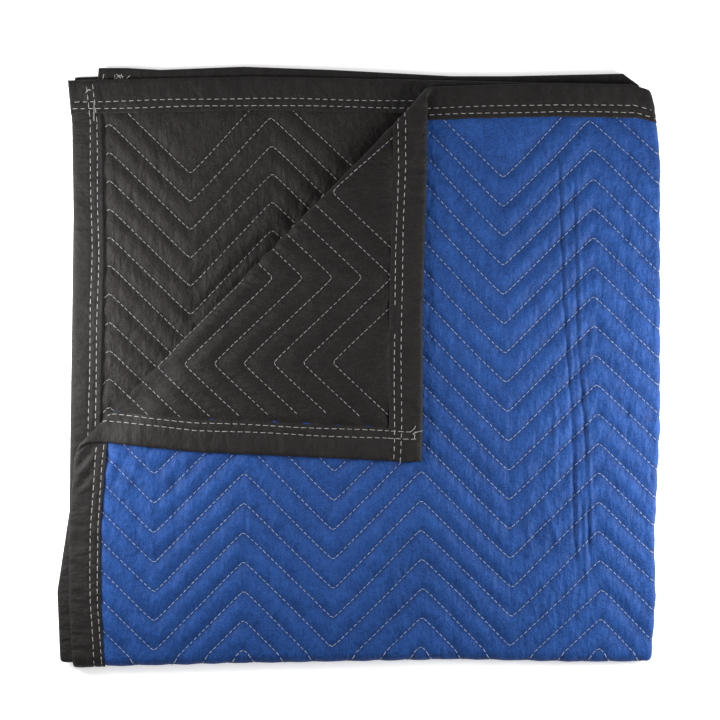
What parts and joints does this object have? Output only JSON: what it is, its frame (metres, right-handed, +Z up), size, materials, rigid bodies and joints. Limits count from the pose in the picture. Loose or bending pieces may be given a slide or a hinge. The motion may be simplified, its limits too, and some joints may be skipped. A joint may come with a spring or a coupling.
{
  "type": "moving blanket",
  "caption": "Quilted moving blanket folded in quarters, blue face out, one top corner turned back to show the black back.",
  "frame": {"origin": "middle of the underside of the folded blanket, on the surface it rests on", "axes": "+X to the side fold, +Y to the back edge where the bound edges meet, so -Y is the front fold; +Z up"},
  "size_m": [0.9342, 0.9334, 0.043],
  "materials": {
    "face_cloth": "blue quilted woven polyester, low sheen",
    "back_cloth": "black quilted woven polyester, matte",
    "binding": "black woven binding, matte, sewn with two rows of off-white thread"
  },
  "bodies": {
    "root": {"face_cloth": "face_cloth", "back_cloth": "back_cloth", "binding_left": "binding", "binding_right": "binding", "binding_head": "binding", "binding_foot": "binding"}
  },
  "joints": []
}
